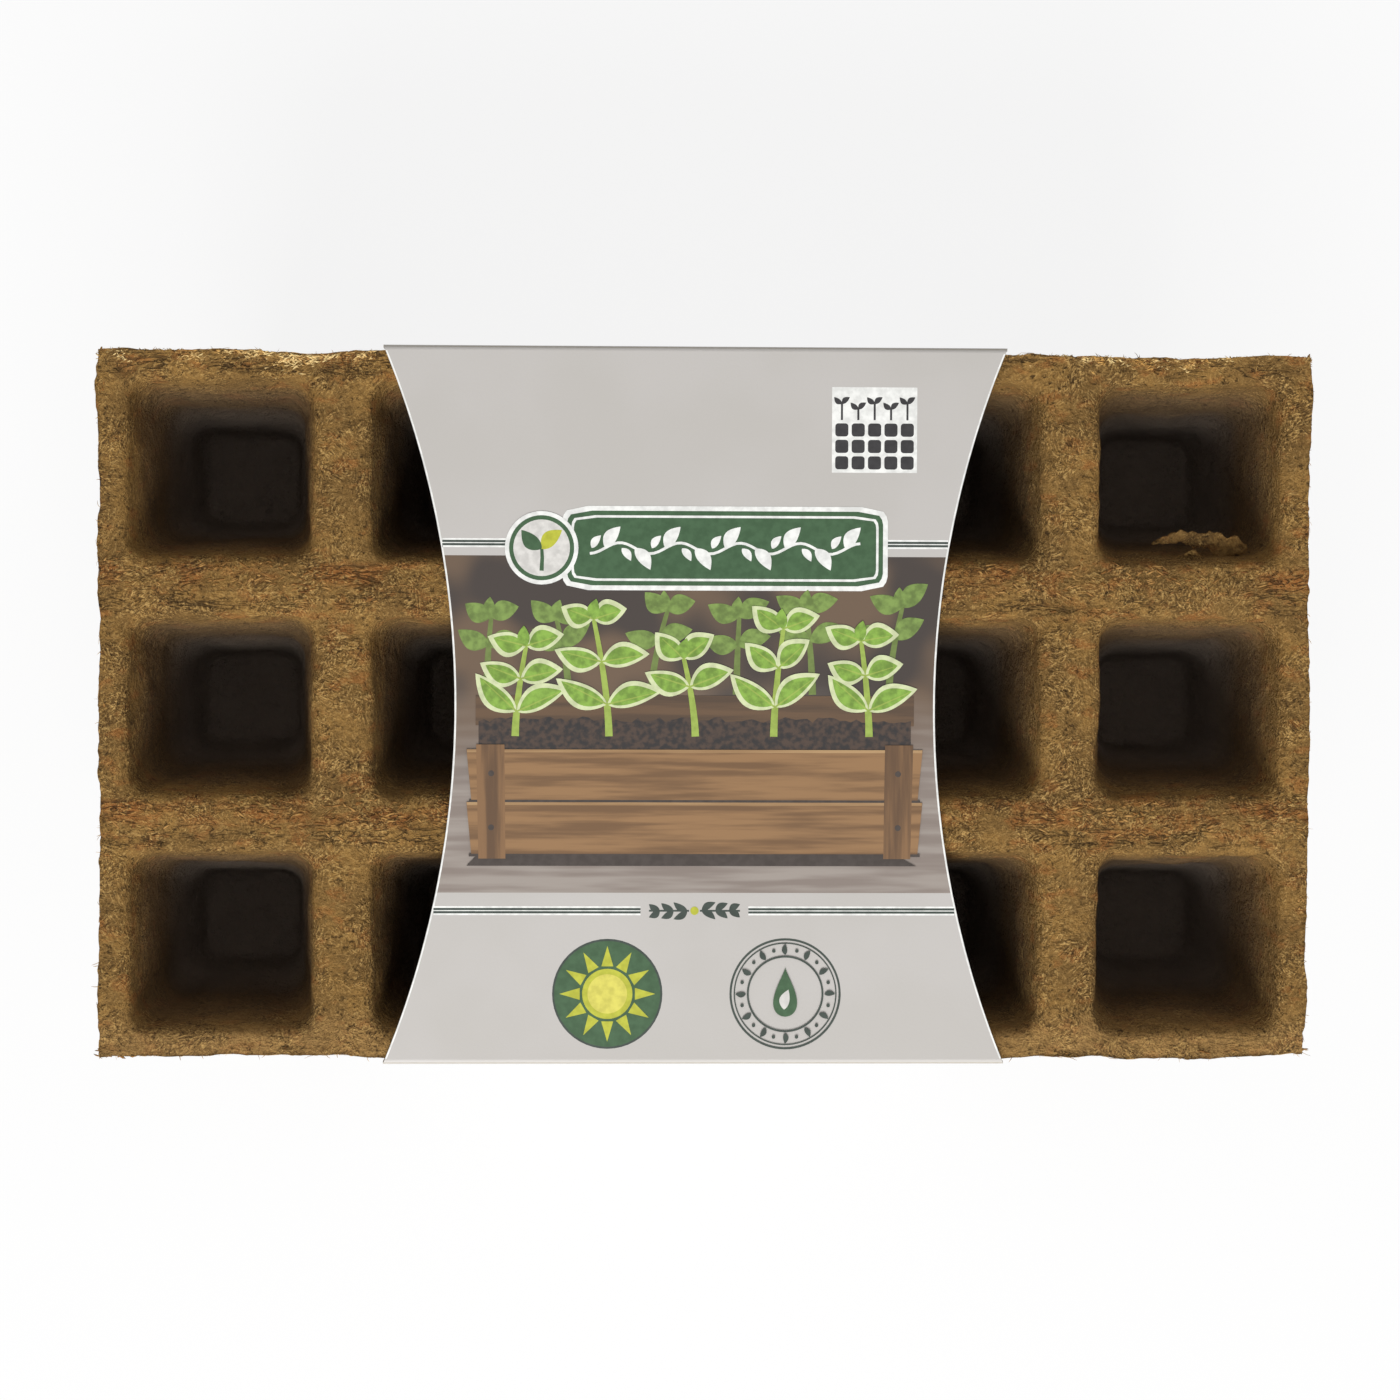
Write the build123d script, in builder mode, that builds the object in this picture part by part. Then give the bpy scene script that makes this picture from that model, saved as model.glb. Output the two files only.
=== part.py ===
"""A pack of six nested seed trays of pressed peat pulp, held by one printed board sleeve.

Each tray is fifteen square tapered pots joined by their rims. The stack stands on the
sleeve's bottom panel with its mouths up. +X runs along a tray's five columns, +Y along
its three rows, and the origin is the middle of the sleeve's underside.
"""

from build123d import *
import os
from math import cos, radians, tan

# Trays: how many there are, and how the pots are laid out. Lengths are millimetres.
tray_count = 6
column_count = 5
row_count = 3
column_pitch = 40.5
row_pitch = 39.4

# One pot. The rim is the web between two mouths, half of which belongs to each pot.
pot_height = 50.0
rim_width = 9.4
rim_thickness = 1.8
floor_thickness = 1.8
wall_thickness = 1.4
wall_draft = 8.5
nest_clearance = 0.08

# Rounding of the pulp, on the inside faces. The outside runs one wall further out.
corner_radius = 3.6
floor_radius = 2.0
lip_radius = 2.4

# The sleeve: a strip of board that wraps the stack, narrower where it crosses the mouths.
board_thickness = 0.45
sleeve_length = 103.8
sleeve_waist = 80.0
sleeve_shift = -2.0
sleeve_clearance = 0.3
crease_radius = 0.9
glue_lap = 20.0
seam_gap = 1.0

# How far a cutting tool runs past what it cuts.
overrun = 1.0

# Sizes that follow from the ones above.
draft_slope = tan(radians(wall_draft))
wall_across = wall_thickness / cos(radians(wall_draft))
tray_length = column_count * column_pitch
tray_width = row_count * row_pitch
mouth_length = column_pitch - rim_width
mouth_width = row_pitch - rim_width
nest_pitch = (wall_across + nest_clearance) / draft_slope
stack_base = 2 * board_thickness + sleeve_clearance
stack_top = stack_base + pot_height + (tray_count - 1) * nest_pitch

# The one flat that touches a quarter round at its middle takes this share of the radius.
flat_share = 2 - 2**0.5


def pot_form(length, width, floor_height, corner, floor_edge, rounded):
    """The tapered block inside or outside a pot's wall, from the floor height to the rim.

    Its upright corners are round, or each is the one flat that touches the round.
    """
    mouth = Plane.XY.offset(pot_height)
    with BuildPart() as form:
        with BuildSketch(mouth):
            Rectangle(length, width)
        extrude(amount=floor_height - pot_height)
        draft(form.faces().filter_by(Axis.Z, reverse=True), mouth, -wall_draft)
        upright_edges = form.edges().filter_by(Plane.XY, reverse=True)
        if rounded:
            fillet(upright_edges, corner)
        else:
            chamfer(upright_edges, corner * flat_share)
        if floor_edge:
            chamfer(form.faces().sort_by(Axis.Z)[0].edges(), floor_edge * flat_share)
    return form.part


def make_tray(level, mouths_finished, undersides_finished):
    """One tray, with level 0 on top of the stack.

    The upper faces of the tray on top and the underside of the lowest are the ones that
    show, so these have their bevels, and the mouths on top have their round corners.
    """
    outside = pot_form(
        mouth_length + 2 * wall_across,
        mouth_width + 2 * wall_across,
        0,
        corner_radius + wall_thickness,
        floor_radius + wall_thickness if undersides_finished else 0,
        rounded=False,
    )
    inside = pot_form(
        mouth_length,
        mouth_width,
        floor_thickness,
        corner_radius,
        floor_radius if mouths_finished else 0,
        rounded=mouths_finished,
    )
    base = stack_base + (tray_count - 1 - level) * nest_pitch
    with BuildPart(Plane.XY.offset(base)) as tray:
        with BuildSketch(Plane.XY.offset(base + pot_height)):
            Rectangle(tray_length, tray_width)
        extrude(amount=-rim_thickness)
        with GridLocations(column_pitch, row_pitch, column_count, row_count):
            add(outside)
        with GridLocations(column_pitch, row_pitch, column_count, row_count):
            add(inside, mode=Mode.SUBTRACT)
        if mouths_finished:
            rim_top = tray.faces().sort_by(Axis.Z)[-1]
            chamfer(rim_top.inner_wires().edges(), lip_radius * flat_share)
    tray.part.label = f"pot_tray_{level + 1}"
    return tray.part


def make_sleeve():
    """The board sleeve: a tube round the stack, with hollowed edges on its top panel.

    The glue lap folds in from one side and lies on the inside of the bottom panel, whose
    own cut edge stops short of that side's crease.
    """
    inner_width = tray_width + 2 * sleeve_clearance
    outer_width = inner_width + 2 * board_thickness
    outer_height = stack_top + sleeve_clearance + board_thickness
    edge_depth = (sleeve_length - sleeve_waist) / 2
    edge_radius = ((outer_width / 2) ** 2 + edge_depth**2) / (2 * edge_depth)
    with BuildPart() as sleeve:
        with BuildSketch(Plane.YZ.offset(sleeve_shift)):
            with Locations((0, outer_height / 2)):
                RectangleRounded(outer_width, outer_height, crease_radius)
                RectangleRounded(
                    inner_width,
                    outer_height - 2 * board_thickness,
                    crease_radius - board_thickness,
                    mode=Mode.SUBTRACT,
                )
            with Locations((inner_width / 2, board_thickness)):
                Rectangle(glue_lap, board_thickness, align=(Align.MAX, Align.MIN))
            with Locations((outer_width / 2, 0)):
                Rectangle(seam_gap, board_thickness, align=(Align.MAX, Align.MIN), mode=Mode.SUBTRACT)
        extrude(amount=sleeve_length / 2, both=True)
        with BuildSketch(Plane.XY.offset(outer_height - crease_radius)):
            for side in (-1, 1):
                with Locations((sleeve_shift + side * (sleeve_waist / 2 + edge_radius), 0)):
                    Circle(edge_radius)
        extrude(amount=crease_radius + overrun, mode=Mode.SUBTRACT)
    sleeve.part.label = "sleeve"
    return sleeve.part


os.makedirs("parts", exist_ok=True)

pieces = [make_sleeve()]
for level in range(tray_count):
    pieces.append(
        make_tray(
            level,
            mouths_finished=level == 0,
            undersides_finished=level == tray_count - 1,
        )
    )
for piece in pieces:
    export_step(piece, f"parts/{piece.label}.step")
    print(piece.label, len(piece.solids()), "solid,", round(piece.volume), "cubic mm")
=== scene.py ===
import itertools
import math
import random
from types import SimpleNamespace

import bpy
import numpy as np
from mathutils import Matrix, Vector
from mathutils.bvhtree import BVHTree


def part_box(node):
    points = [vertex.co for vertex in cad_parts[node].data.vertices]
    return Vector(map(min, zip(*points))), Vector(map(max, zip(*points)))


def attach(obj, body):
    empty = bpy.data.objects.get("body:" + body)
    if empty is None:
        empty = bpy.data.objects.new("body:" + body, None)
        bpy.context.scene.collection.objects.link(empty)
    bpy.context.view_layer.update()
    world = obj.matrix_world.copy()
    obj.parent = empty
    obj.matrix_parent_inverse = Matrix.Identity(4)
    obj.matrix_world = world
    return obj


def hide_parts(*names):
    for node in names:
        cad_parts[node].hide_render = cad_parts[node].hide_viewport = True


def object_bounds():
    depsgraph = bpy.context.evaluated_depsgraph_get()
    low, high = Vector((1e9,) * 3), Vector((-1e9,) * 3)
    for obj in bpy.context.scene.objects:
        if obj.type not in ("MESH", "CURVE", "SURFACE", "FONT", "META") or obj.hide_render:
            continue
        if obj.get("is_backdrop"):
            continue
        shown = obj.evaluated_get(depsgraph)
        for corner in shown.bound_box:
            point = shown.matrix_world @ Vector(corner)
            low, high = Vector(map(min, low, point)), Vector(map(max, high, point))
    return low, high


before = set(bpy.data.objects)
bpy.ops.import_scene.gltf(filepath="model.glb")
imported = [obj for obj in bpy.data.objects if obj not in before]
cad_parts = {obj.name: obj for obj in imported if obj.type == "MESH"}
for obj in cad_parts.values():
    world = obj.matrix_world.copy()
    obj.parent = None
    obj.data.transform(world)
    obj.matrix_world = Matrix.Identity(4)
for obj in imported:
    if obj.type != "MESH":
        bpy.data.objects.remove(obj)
cad_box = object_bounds()

# Blender's metres in one millimetre. Lengths below are millimetres.
MM = 0.001

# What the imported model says: the trays' extent, how far they nest, and the sleeve's top panel.
TRAYS = [f"pot_tray_{number}" for number in range(1, 7)]
COLUMNS, ROWS = 5, 3


def node_box(node):
    """A CAD node's lowest and highest corners, in millimetres."""
    low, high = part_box(node)
    return np.array(low) / MM, np.array(high) / MM


TRAY_LOW, TRAY_HIGH = node_box(TRAYS[0])
SLEEVE_LOW, SLEEVE_HIGH = node_box("sleeve")
PITCH_X = (TRAY_HIGH[0] - TRAY_LOW[0]) / COLUMNS
PITCH_Y = (TRAY_HIGH[1] - TRAY_LOW[1]) / ROWS
POT_HEIGHT = TRAY_HIGH[2] - TRAY_LOW[2]
RIM_TOP = TRAY_HIGH[2]
NEST_PITCH = RIM_TOP - node_box(TRAYS[1])[1][2]
PANEL_TOP = SLEEVE_HIGH[2]
SLEEVE_MIDDLE = (SLEEVE_LOW[0] + SLEEVE_HIGH[0]) / 2
HALF_X, HALF_Y = HALF = (PITCH_X * COLUMNS / 2, PITCH_Y * ROWS / 2)

# The pot's section, close to the CAD's, with a fuller lip.
RIM_WIDTH = 9.4
RIM_THICKNESS = 1.8
FLOOR_THICKNESS = 1.8
WALL_THICKNESS = 1.4
DRAFT = math.radians(8.5)
WALL_ACROSS = WALL_THICKNESS / math.cos(DRAFT)
CORNER_RADIUS = 3.6
LIP_RADIUS = 2.6
FLOOR_RADIUS = 2.0
BASE_RADIUS = 2.6
UNDER_FILLET = 1.2
RIM_CROWN = 0.3

# How far a rounding turns from level to the wall, and how far it reaches for each millimetre of radius.
WALL_TURN = math.pi / 2 - DRAFT
TURN_REACH = math.tan(WALL_TURN / 2)

# Rings down a tray's outer edge, and how much further apart they lie deep in a pot.
EDGE_RINGS, COARSER = 3, 2.2

# The outline only wavers this far from the sleeve's middle, and less on the trays' ends.
WAVE_START, WAVE_RISE, WAVELENGTH, END_WAVE = 54.0, 5.0, 13.0, 0.3

# The pulp's lumps: how high each kind stands, and over what wavelength.
LUMPS = ((0.34, 9.0), (0.2, 3.6), (0.13, 1.7), (0.08, 0.9))


# Numbers mixed from a seed, the same in every run.


def lattice_value(cells, seed):
    """A value between -1 and 1 for each whole-numbered point."""
    mixed = cells[..., 0] * 73856093 ^ cells[..., 1] * 19349663 ^ cells[..., 2] * 83492791
    mixed = (mixed ^ (seed * 40503 + 12345)) & 0xFFFFFFFF
    for _ in range(2):
        mixed = ((mixed >> 15) ^ mixed) * 0x2C1B3C6D & 0xFFFFFFFF
    mixed = (mixed >> 13) ^ mixed
    return (mixed & 0xFFFF) / 32767.5 - 1


def noise(points, wavelength, seed):
    """A smooth random field that varies over about a wavelength."""
    scaled = points / wavelength
    cell = np.floor(scaled).astype(np.int64)
    part = scaled - cell
    part = part * part * (3 - 2 * part)
    total = np.zeros(len(points))
    for corner in itertools.product((0, 1), repeat=3):
        share = np.where(np.array(corner), part, 1 - part).prod(axis=1)
        total += share * lattice_value(cell + np.array(corner), seed)
    return total


# Trays: rings of points round each pot, from the middle of the rim down to the floor.


def ring(half_x, half_y, radius, height, per_side):
    """Evenly spaced points along each side of a rounded rectangle, from corner to corner."""
    sides = []
    for turn in range(4):
        along_half, out_half = (half_x, half_y) if turn % 2 == 0 else (half_y, half_x)
        bend = radius * math.pi / 4
        straight = 2 * (along_half - radius)
        way = np.arange(per_side) / per_side * (2 * bend + straight)
        before = np.clip(way - bend, -bend, 0)
        after = np.clip(way - bend - straight, 0, bend)
        angle = (before + after) / max(radius, 1e-9)
        along = np.clip(way - bend, 0, straight) - straight / 2 + radius * np.sin(angle)
        out = out_half - radius + radius * np.cos(angle)
        x, y = ((along, -out), (out, along), (-along, out), (-out, -along))[turn]
        sides.append(np.stack([x, y, np.full(per_side, height)], axis=1))
    return np.concatenate(sides)


def tray_top(number):
    """The height of a tray's rims, tray 1 being the one on top."""
    return RIM_TOP - (number - 1) * NEST_PITCH


def wall_offset(depth):
    """How far a pot's wall has come in from its mouth at a depth below the rim."""
    return -depth * math.tan(DRAFT)


def floor_edge(inner, radius, floor, corner, shrink, turn_shares, per_side):
    """Rings round from a pot's wall to its floor, whose corners get sharper on the way."""
    for share in turn_shares:
        turn = WALL_TURN * share
        height = floor + radius * (1 - math.cos(turn))
        yield inner + radius * math.sin(turn), corner - shrink * (1 - share), height, per_side


def mouth_rings(top, detail):
    """Top down, (half width beyond the mouth's, corner radius, height, points a side) of each ring."""
    lip_reach = LIP_RADIUS * TURN_REACH
    rim_half = RIM_WIDTH / 2
    rings = []
    for step in range(detail.rim + 1):
        share = step / detail.rim
        beyond = rim_half + (lip_reach - rim_half) * share
        radius = share * (CORNER_RADIUS + lip_reach)
        rings.append((beyond, radius, top - RIM_CROWN * share**2, detail.points))
    for step in range(1, detail.lip + 1):
        turn = WALL_TURN * step / detail.lip
        beyond = lip_reach - LIP_RADIUS * math.sin(turn)
        drop = LIP_RADIUS * (1 - math.cos(turn)) + RIM_CROWN * (1 - step / detail.lip)
        rings.append((beyond, CORNER_RADIUS + beyond, top - drop, detail.points))
    depth = LIP_RADIUS * (1 - math.cos(WALL_TURN))
    last = POT_HEIGHT - FLOOR_THICKNESS - FLOOR_RADIUS
    while depth + detail.step * 0.5 < detail.depth:
        depth += detail.step
        rings.append((wall_offset(depth), CORNER_RADIUS, top - depth, detail.points))
    coarse_steps = max(1, round((last - depth) / (detail.step * COARSER)))
    for step in range(1, coarse_steps + 1):
        down = depth + (last - depth) * step / coarse_steps
        rings.append((wall_offset(down), CORNER_RADIUS, top - down, detail.points // 2))
    floor = top - POT_HEIGHT + FLOOR_THICKNESS
    inner = wall_offset(POT_HEIGHT - FLOOR_THICKNESS) - FLOOR_RADIUS * TURN_REACH
    per_side = detail.points // 2
    rings += floor_edge(inner, FLOOR_RADIUS, floor, CORNER_RADIUS, 1.5, (0.6, 0.3, 0.0), per_side)
    return rings + [(inner - inset, 1.2, floor, per_side) for inset in (2.2, 4.4)]


def underside_rings(top, detail):
    """The same from the middle of the rim's underside, down the outside to the pot's bottom."""
    under = top - RIM_THICKNESS
    rings = [(RIM_WIDTH / 2, 0.0, under, detail.points)]
    outer_radius = CORNER_RADIUS + WALL_THICKNESS
    wall_top = WALL_ACROSS + wall_offset(RIM_THICKNESS)
    for beyond, drop in ((UNDER_FILLET, 0.0), (0.3 * UNDER_FILLET, 0.3 * UNDER_FILLET)):
        rings.append((wall_top + beyond, outer_radius + beyond, under - drop, detail.points // 2))
    depth = RIM_THICKNESS + UNDER_FILLET
    while depth < POT_HEIGHT - BASE_RADIUS - 1:
        coarse = 1 if depth < detail.outside_depth else 2
        per_side = detail.points // (2 * coarse)
        rings.append((WALL_ACROSS + wall_offset(depth), outer_radius, top - depth, per_side))
        depth += detail.outside_step * coarse
    base = top - POT_HEIGHT
    inner = WALL_ACROSS + wall_offset(POT_HEIGHT) - BASE_RADIUS * TURN_REACH
    rings += floor_edge(inner, BASE_RADIUS, base, outer_radius, 2.0, (1.0, 0.66, 0.33, 0.0), per_side)
    return rings + [(inner - 3.0, 2.0, base, per_side)]


def ring_faces(upper, lower, first_upper, first_lower, flip):
    """Faces between two rings, where the lower has as many points or half as many."""
    faces = []
    ratio = upper // lower
    for at in range(lower):
        after = (at + 1) % lower
        above = [first_upper + (at * ratio + step) % upper for step in range(ratio + 1)]
        face = above + [first_lower + after, first_lower + at]
        faces.append(face[::-1] if flip else face)
    return faces


def pot_mesh(rings, centre, flip):
    """Points and faces of one pot's inside or outside, closed by a floor."""
    points, faces, start, before = [], [], 0, None
    for beyond, radius, height, per_side in rings:
        half_x = (PITCH_X - RIM_WIDTH) / 2 + beyond
        half_y = (PITCH_Y - RIM_WIDTH) / 2 + beyond
        loop = ring(half_x, half_y, radius, height, per_side)
        loop[:, :2] += centre
        if before is not None:
            faces += ring_faces(before[1], len(loop), before[0], start, flip)
        points.append(loop)
        before = (start, len(loop))
        start += len(loop)
    floor = list(range(before[0], start))
    faces.append(floor[::-1] if flip else floor)
    return np.concatenate(points), faces


def pot_centres():
    for row in range(ROWS):
        for column in range(COLUMNS):
            yield np.array([(column - (COLUMNS - 1) / 2) * PITCH_X, (row - (ROWS - 1) / 2) * PITCH_Y])


def edge_strip(top, per_side):
    """The tray's outer edge: a wall of rings between its top face and its underside."""
    corners = np.array([(-1, -1), (1, -1), (1, 1), (-1, 1), (-1, -1)]) * HALF
    loop = []
    for start, end, count in zip(corners, corners[1:], (COLUMNS, ROWS, COLUMNS, ROWS)):
        shares = np.arange(per_side * count)[:, None] / (per_side * count)
        loop.append(start + shares * (end - start))
    loop = np.concatenate(loop)
    points, faces = [], []
    for step in range(EDGE_RINGS + 1):
        height = top - RIM_THICKNESS * step / EDGE_RINGS
        points.append(np.column_stack([loop, np.full(len(loop), height)]))
        if step:
            faces += ring_faces(len(loop), len(loop), (step - 1) * len(loop), step * len(loop), True)
    return np.concatenate(points), faces


def weld(points, faces):
    """Joins points within a micrometre of each other, and keeps faces as lists."""
    keys = np.round(points * 1000).astype(np.int64)
    _, first, into = np.unique(keys, axis=0, return_index=True, return_inverse=True)
    into = into.reshape(-1)
    return points[first], [[int(into[corner]) for corner in face] for face in faces]


def placed(name, data):
    """A new object in the scene."""
    made = bpy.data.objects.new(name, data)
    bpy.context.scene.collection.objects.link(made)
    return made


def make_mesh(name, points, faces, materials, smooth=True):
    """A new object from points in millimetres."""
    mesh = bpy.data.meshes.new(name)
    mesh.from_pydata((np.asarray(points) * MM).tolist(), [], faces)
    for material in materials:
        mesh.materials.append(material)
    if smooth:
        mesh.polygons.foreach_set("use_smooth", [True] * len(mesh.polygons))
    mesh.update()
    return placed(name, mesh)


def joined(parts):
    """The points and faces of several parts as those of one."""
    faces, start = [], 0
    for part_points, part_faces in parts:
        faces += [[corner + start for corner in face] for face in part_faces]
        start += len(part_points)
    return np.concatenate([part_points for part_points, _ in parts]), faces


def vectors(items, name):
    """One vector of each item of a mesh, as the rows of an array."""
    values = np.empty(len(items) * 3, np.float32)
    items.foreach_get(name, values)
    return values.reshape(-1, 3)


def edge_wave(points, seed):
    """How far a tray's outline runs out of its straight edge, none where the sleeve lies.

    Where the sleeve slides along, the outline only runs in.
    """
    beyond = np.clip((abs(points[:, 0] - SLEEVE_MIDDLE) - WAVE_START) / WAVE_RISE, 0, 1)
    wave = beyond * noise(points * (1, 1, 0), WAVELENGTH, seed + 8)
    beside_sleeve = abs(points[:, 1]) > HALF_Y - WAVE_RISE
    return np.where(beside_sleeve, np.minimum(wave, 0.0), END_WAVE * wave)


def wave_at(place, number):
    """The same at one place on a tray's outline."""
    return edge_wave(np.array([[*place, 0.0]]), 100 * number)[0]


def roughen(piece, points, top, seed):
    """Gives a tray's smooth form the lumps and torn edge of pressed pulp."""
    normals = vectors(piece.data.vertex_normals, "vector").astype(float)
    lumps = sum(size * noise(points, length, seed + at) for at, (size, length) in enumerate(LUMPS))
    outer = (abs(points[:, :2]) - HALF).max(axis=1)
    near_edge = np.clip(1 + outer / 1.5, 0, 1)
    torn = 0.3 * noise(points, 5.0, seed + 4) + 0.28 * noise(points, 1.3, seed + 5)
    rows = points[:, 1] / PITCH_Y + ROWS / 2
    from_web = abs(rows - np.round(rows)) * PITCH_Y
    layers = noise(points * (0.16, 1, 1), 1.5, seed + 6)
    layers += 0.5 * noise(points * (0.3, 1, 1), 0.9, seed + 7)
    near_rim = np.clip((4.2 - from_web) / 2, 0, 1) * np.clip((points[:, 2] - top + 3) / 2, 0, 1)
    lumps += 0.24 * layers * near_rim
    sideways = normals * (1, 1, 0)
    moved = points + normals * lumps[:, None] + sideways * (near_edge * (torn - 0.3))[:, None]
    share = np.clip(1 + (abs(points[:, :2]) - HALF) / WAVE_RISE, 0, 1)
    moved[:, :2] += np.sign(points[:, :2]) * share * edge_wave(points, seed)[:, None]
    moved[:, 2] = np.clip(moved[:, 2], top - POT_HEIGHT, top + 0.2)
    piece.data.vertices.foreach_set("co", (moved * MM).ravel())
    piece.data.update()


# How finely a tray is divided: its rings, the points along a pot's side, and to what depth.
FINE = SimpleNamespace(
    rim=3, lip=6, points=36, step=0.8, depth=16.0, outside_step=2.2, outside_depth=13.0
)
PLAIN = SimpleNamespace(
    rim=3, lip=3, points=24, step=1.8, depth=5.0, outside_step=3.0, outside_depth=50.0
)


def make_tray(number, material):
    """One displaced tray that stands for the CAD's."""
    top = tray_top(number)
    detail = FINE if number == 1 else PLAIN
    parts = []
    for centre in pot_centres():
        parts.append(pot_mesh(mouth_rings(top, detail), centre, True))
        parts.append(pot_mesh(underside_rings(top, detail), centre, False))
    parts.append(edge_strip(top, detail.points))
    points, faces = weld(*joined(parts))
    tray = make_mesh(f"tray_{number}", points, faces, [material])
    roughen(tray, points, top, 100 * number)
    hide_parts(TRAYS[number - 1])
    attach(tray, "trays")
    return tray


# Materials

WHITE = (1, 1, 1, 1)


class Nodes:
    """Short forms for building a node tree, of a material or of the world."""

    def __init__(self, owner, shader):
        self.owner = owner
        owner.use_nodes = True
        self.tree = owner.node_tree
        self.shader = self.tree.nodes[shader]

    def add(self, kind, inputs=(), **settings):
        node = self.tree.nodes.new("ShaderNode" + kind)
        for key, value in settings.items():
            setattr(node, key, value)
        for key, value in dict(inputs).items():
            self.feed(node.inputs[key], value)
        return node

    def feed(self, socket, value):
        if isinstance(value, bpy.types.NodeSocket):
            self.tree.links.new(value, socket)
        else:
            socket.default_value = value

    def math(self, operation, first, second=0.0):
        return self.add("Math", {0: first, 1: second}, operation=operation).outputs[0]

    def times(self, first, second):
        return self.math("MULTIPLY", first, second)

    def show(self, kind, strength, share, output):
        """Mixes a white light of that kind into the shader, by a share."""
        light = self.add(kind, {"Color": WHITE, "Strength": strength}).outputs[0]
        both = self.add("MixShader", {0: share, 1: self.shader.outputs[0], 2: light})
        self.feed(self.tree.nodes[output].inputs["Surface"], both.outputs[0])


class Paint(Nodes):
    """A material whose detail follows the place on the object."""

    def __init__(self, name, colour):
        super().__init__(bpy.data.materials.new(name), "Principled BSDF")
        self.place = self.add("TexCoord").outputs["Object"]
        self.colour = colour

    def split(self):
        return self.add("SeparateXYZ", {"Vector": self.place}).outputs

    def finish(self, roughness, specular=0.5, relief=None):
        """Sets the shader's inputs, with relief as a bump node's output."""
        self.feed(self.shader.inputs["Base Color"], self.colour)
        if relief:
            self.feed(self.shader.inputs["Normal"], relief)
        self.shader.inputs["Roughness"].default_value = roughness
        self.shader.inputs["Specular IOR Level"].default_value = specular
        return self.owner

    def noise(self, per_mm, detail=2.0, stretch=None, roughness=0.5, distortion=0.0, place=None):
        """Noise with so many features a millimetre, drawn out where stretch is under 1."""
        place = place or self.place
        if stretch:
            place = self.add("Mapping", {"Vector": place, "Scale": stretch}).outputs[0]
        inputs = {"Vector": place, "Scale": per_mm / MM, "Detail": detail}
        inputs.update({"Roughness": roughness, "Distortion": distortion})
        return self.add("TexNoise", inputs).outputs["Fac"]

    def felt(self, patch, per_mm):
        """Fine lines that lie one way inside a patch, and another way in the next."""
        wander = self.add("TexNoise", {"Vector": self.place, "Scale": 0.9 / patch / MM})
        inputs = {0: wander.outputs["Color"], "Scale": patch * MM}
        shift = self.add("VectorMath", inputs, operation="SCALE").outputs[0]
        bent = self.add("VectorMath", {0: self.place, 1: shift}).outputs[0]
        cells = self.add("TexVoronoi", {"Vector": bent, "Scale": 1 / patch / MM})
        share = self.add("SeparateXYZ", {"Vector": cells.outputs["Color"]}).outputs
        angle = self.times(share[0], 2 * math.pi)
        tilt = self.times(self.math("SUBTRACT", share[1], 0.5), 1.2)
        angles = self.add("CombineXYZ", {0: tilt, 1: tilt, 2: angle}).outputs[0]
        inputs = {"Vector": self.place, "Rotation": angles}
        turned_place = self.add("VectorRotate", inputs, rotation_type="EULER_XYZ").outputs[0]
        return self.noise(per_mm, 1.5, (0.16, 1.0, 1.0), distortion=0.35, place=turned_place)

    def ramp(self, value, low, high, to_high=1.0, to_low=0.0):
        inputs = {"Value": value, "From Min": low, "From Max": high, "To Min": to_low, "To Max": to_high}
        return self.add("MapRange", inputs, interpolation_type="SMOOTHSTEP").outputs[0]

    def mix(self, amount, *colours):
        """Between two colours, each from a node or a tuple as it shows on screen."""
        first, second = (linear(tone) if isinstance(tone, tuple) else tone for tone in colours)
        return self.add("Mix", {0: amount, 6: first, 7: second}, data_type="RGBA").outputs[2]

    def coat(self, amount, tone):
        """Lays another colour over what is there, by an amount."""
        self.colour = self.mix(amount, self.colour, tone)

    def bump(self, height, depth_mm, strength=1.0):
        inputs = {"Height": height, "Distance": depth_mm * MM, "Strength": strength}
        return self.add("Bump", inputs).outputs[0]


def linear(colour):
    """A colour given as it shows on screen, from 0 to 255, as the shader's own values."""
    shown = (np.array(colour) / 255.0 + 0.055) / 1.055
    return np.append(np.maximum(shown, 0.04045) ** 2.4, 1.0)


OCHRE, UMBER, RUSSET = (162, 124, 68), (130, 99, 55), (164, 105, 54)
# On the next line, the last colour is painted light: the paler rim along the -Y edge, on the lamp's side.
STRAW, DARK, PAINTED_LIGHT_RIM = (214, 174, 108), (70, 51, 31), (186, 146, 92)

# Painted shade and light down the top tray's pots: from one depth under the rim to another, so much of a
# colour. The first two darken the walls where shade falls; the last, paler one is painted light that lifts
# the lower walls and floors.
PAINTED_POT_SHADING = (
    (2, 15, 0.6, (102, 83, 64)),
    (10, 30, 0.8, (98, 81, 62)),
    (20, 38, 0.85, (148, 135, 123)),
)


def tint_rims(n, y):
    """Russet layers along the inner rims that run along X, and painted light on the rim along the -Y edge,
    on the lamp's side, which is painted paler.

    Returns where the rims are cracked.
    """
    row = PITCH_Y * MM
    web = n.math("SUBTRACT", n.math("FRACT", n.math("ADD", n.math("DIVIDE", y, row), (ROWS + 1) / 2)), 0.5)
    band = n.times(n.ramp(web, -0.03, 0.03), n.ramp(web, 0.115, 0.075))
    patches = n.ramp(n.noise(0.14, 3.0, (0.7, 1.5, 1)), 0.44, 0.62)
    inner = n.ramp(n.math("ABSOLUTE", y), (ROWS / 2 - 0.2) * row, (ROWS / 2 - 0.4) * row)
    n.coat(n.times(n.times(band, n.times(patches, inner)), 0.85), RUSSET)
    # Painted light: the rim along the -Y edge, on the lamp's side, is painted paler.
    lit_front = n.ramp(y, (0.25 - ROWS / 2) * row, (0.08 - ROWS / 2) * row)
    n.coat(n.times(lit_front, 0.5), PAINTED_LIGHT_RIM)
    near_web = n.times(n.ramp(n.math("ABSOLUTE", web), 0.12, 0.08), patches)
    return n.times(near_web, n.math("SUBTRACT", 1.0, n.times(lit_front, 0.8)))


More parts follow.
